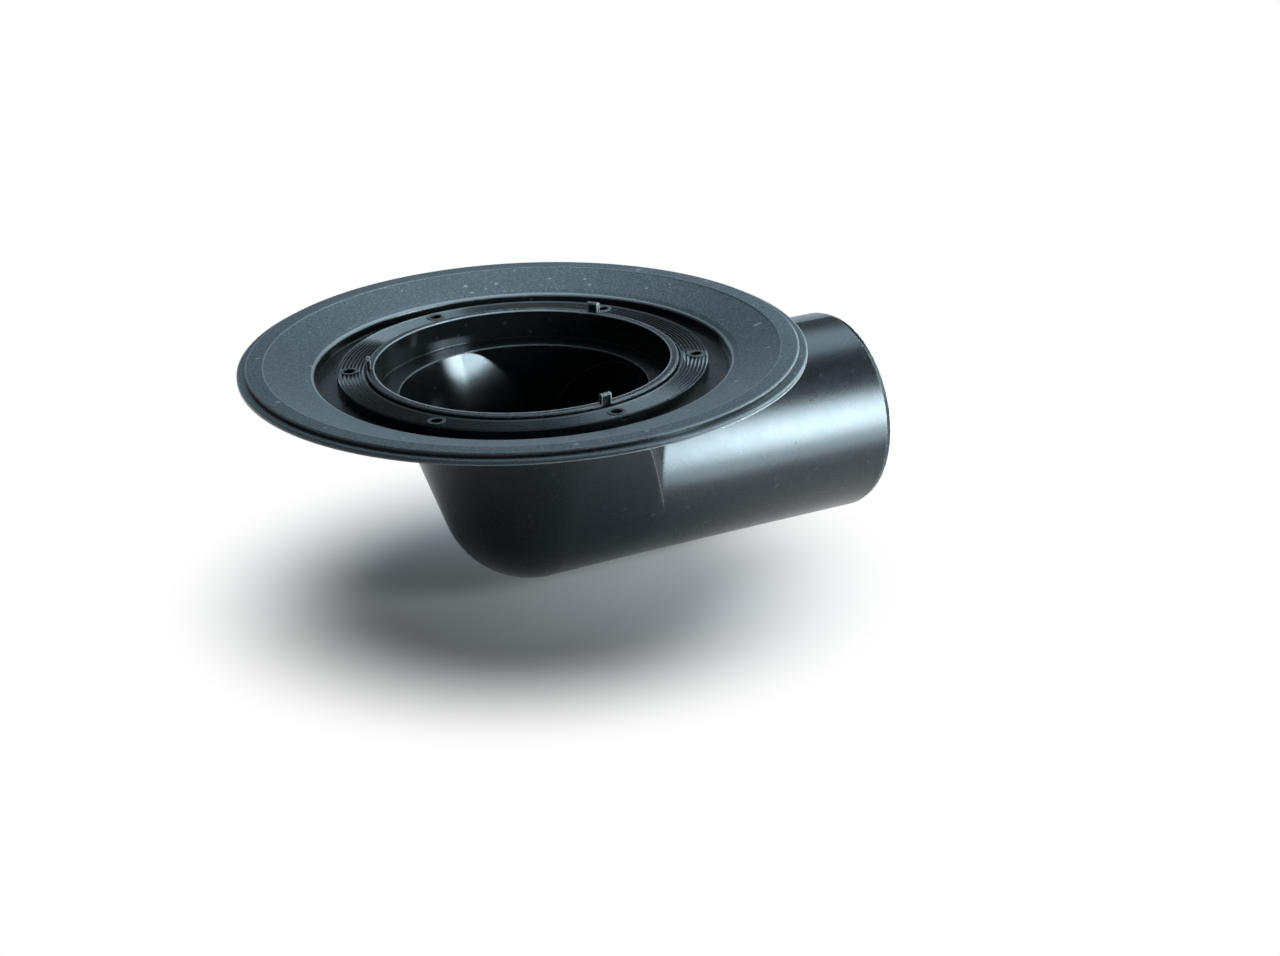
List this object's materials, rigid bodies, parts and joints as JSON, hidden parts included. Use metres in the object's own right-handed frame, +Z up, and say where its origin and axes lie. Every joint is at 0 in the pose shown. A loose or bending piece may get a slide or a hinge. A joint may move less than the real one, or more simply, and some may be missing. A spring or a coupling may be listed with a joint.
{
  "type": "balcony drain body",
  "caption": "Black plastic balcony drain body: dished round flange with ribbed clamping ring round an open inlet, and a pot below leading to a slightly falling side outlet spigot.",
  "frame": {"origin": "on the inlet axis, level with the collar's rim and with the flange's underside", "axes": "+Z up along the inlet axis, +X along the outlet as seen from above, +Y to the left of the outlet"},
  "size_m": [0.2427, 0.206, 0.0925],
  "materials": {
    "black_plastic": "moulded, fine grain, half matt with a soft sheen"
  },
  "bodies": {
    "root": {"drain_body": "black_plastic"}
  },
  "joints": []
}
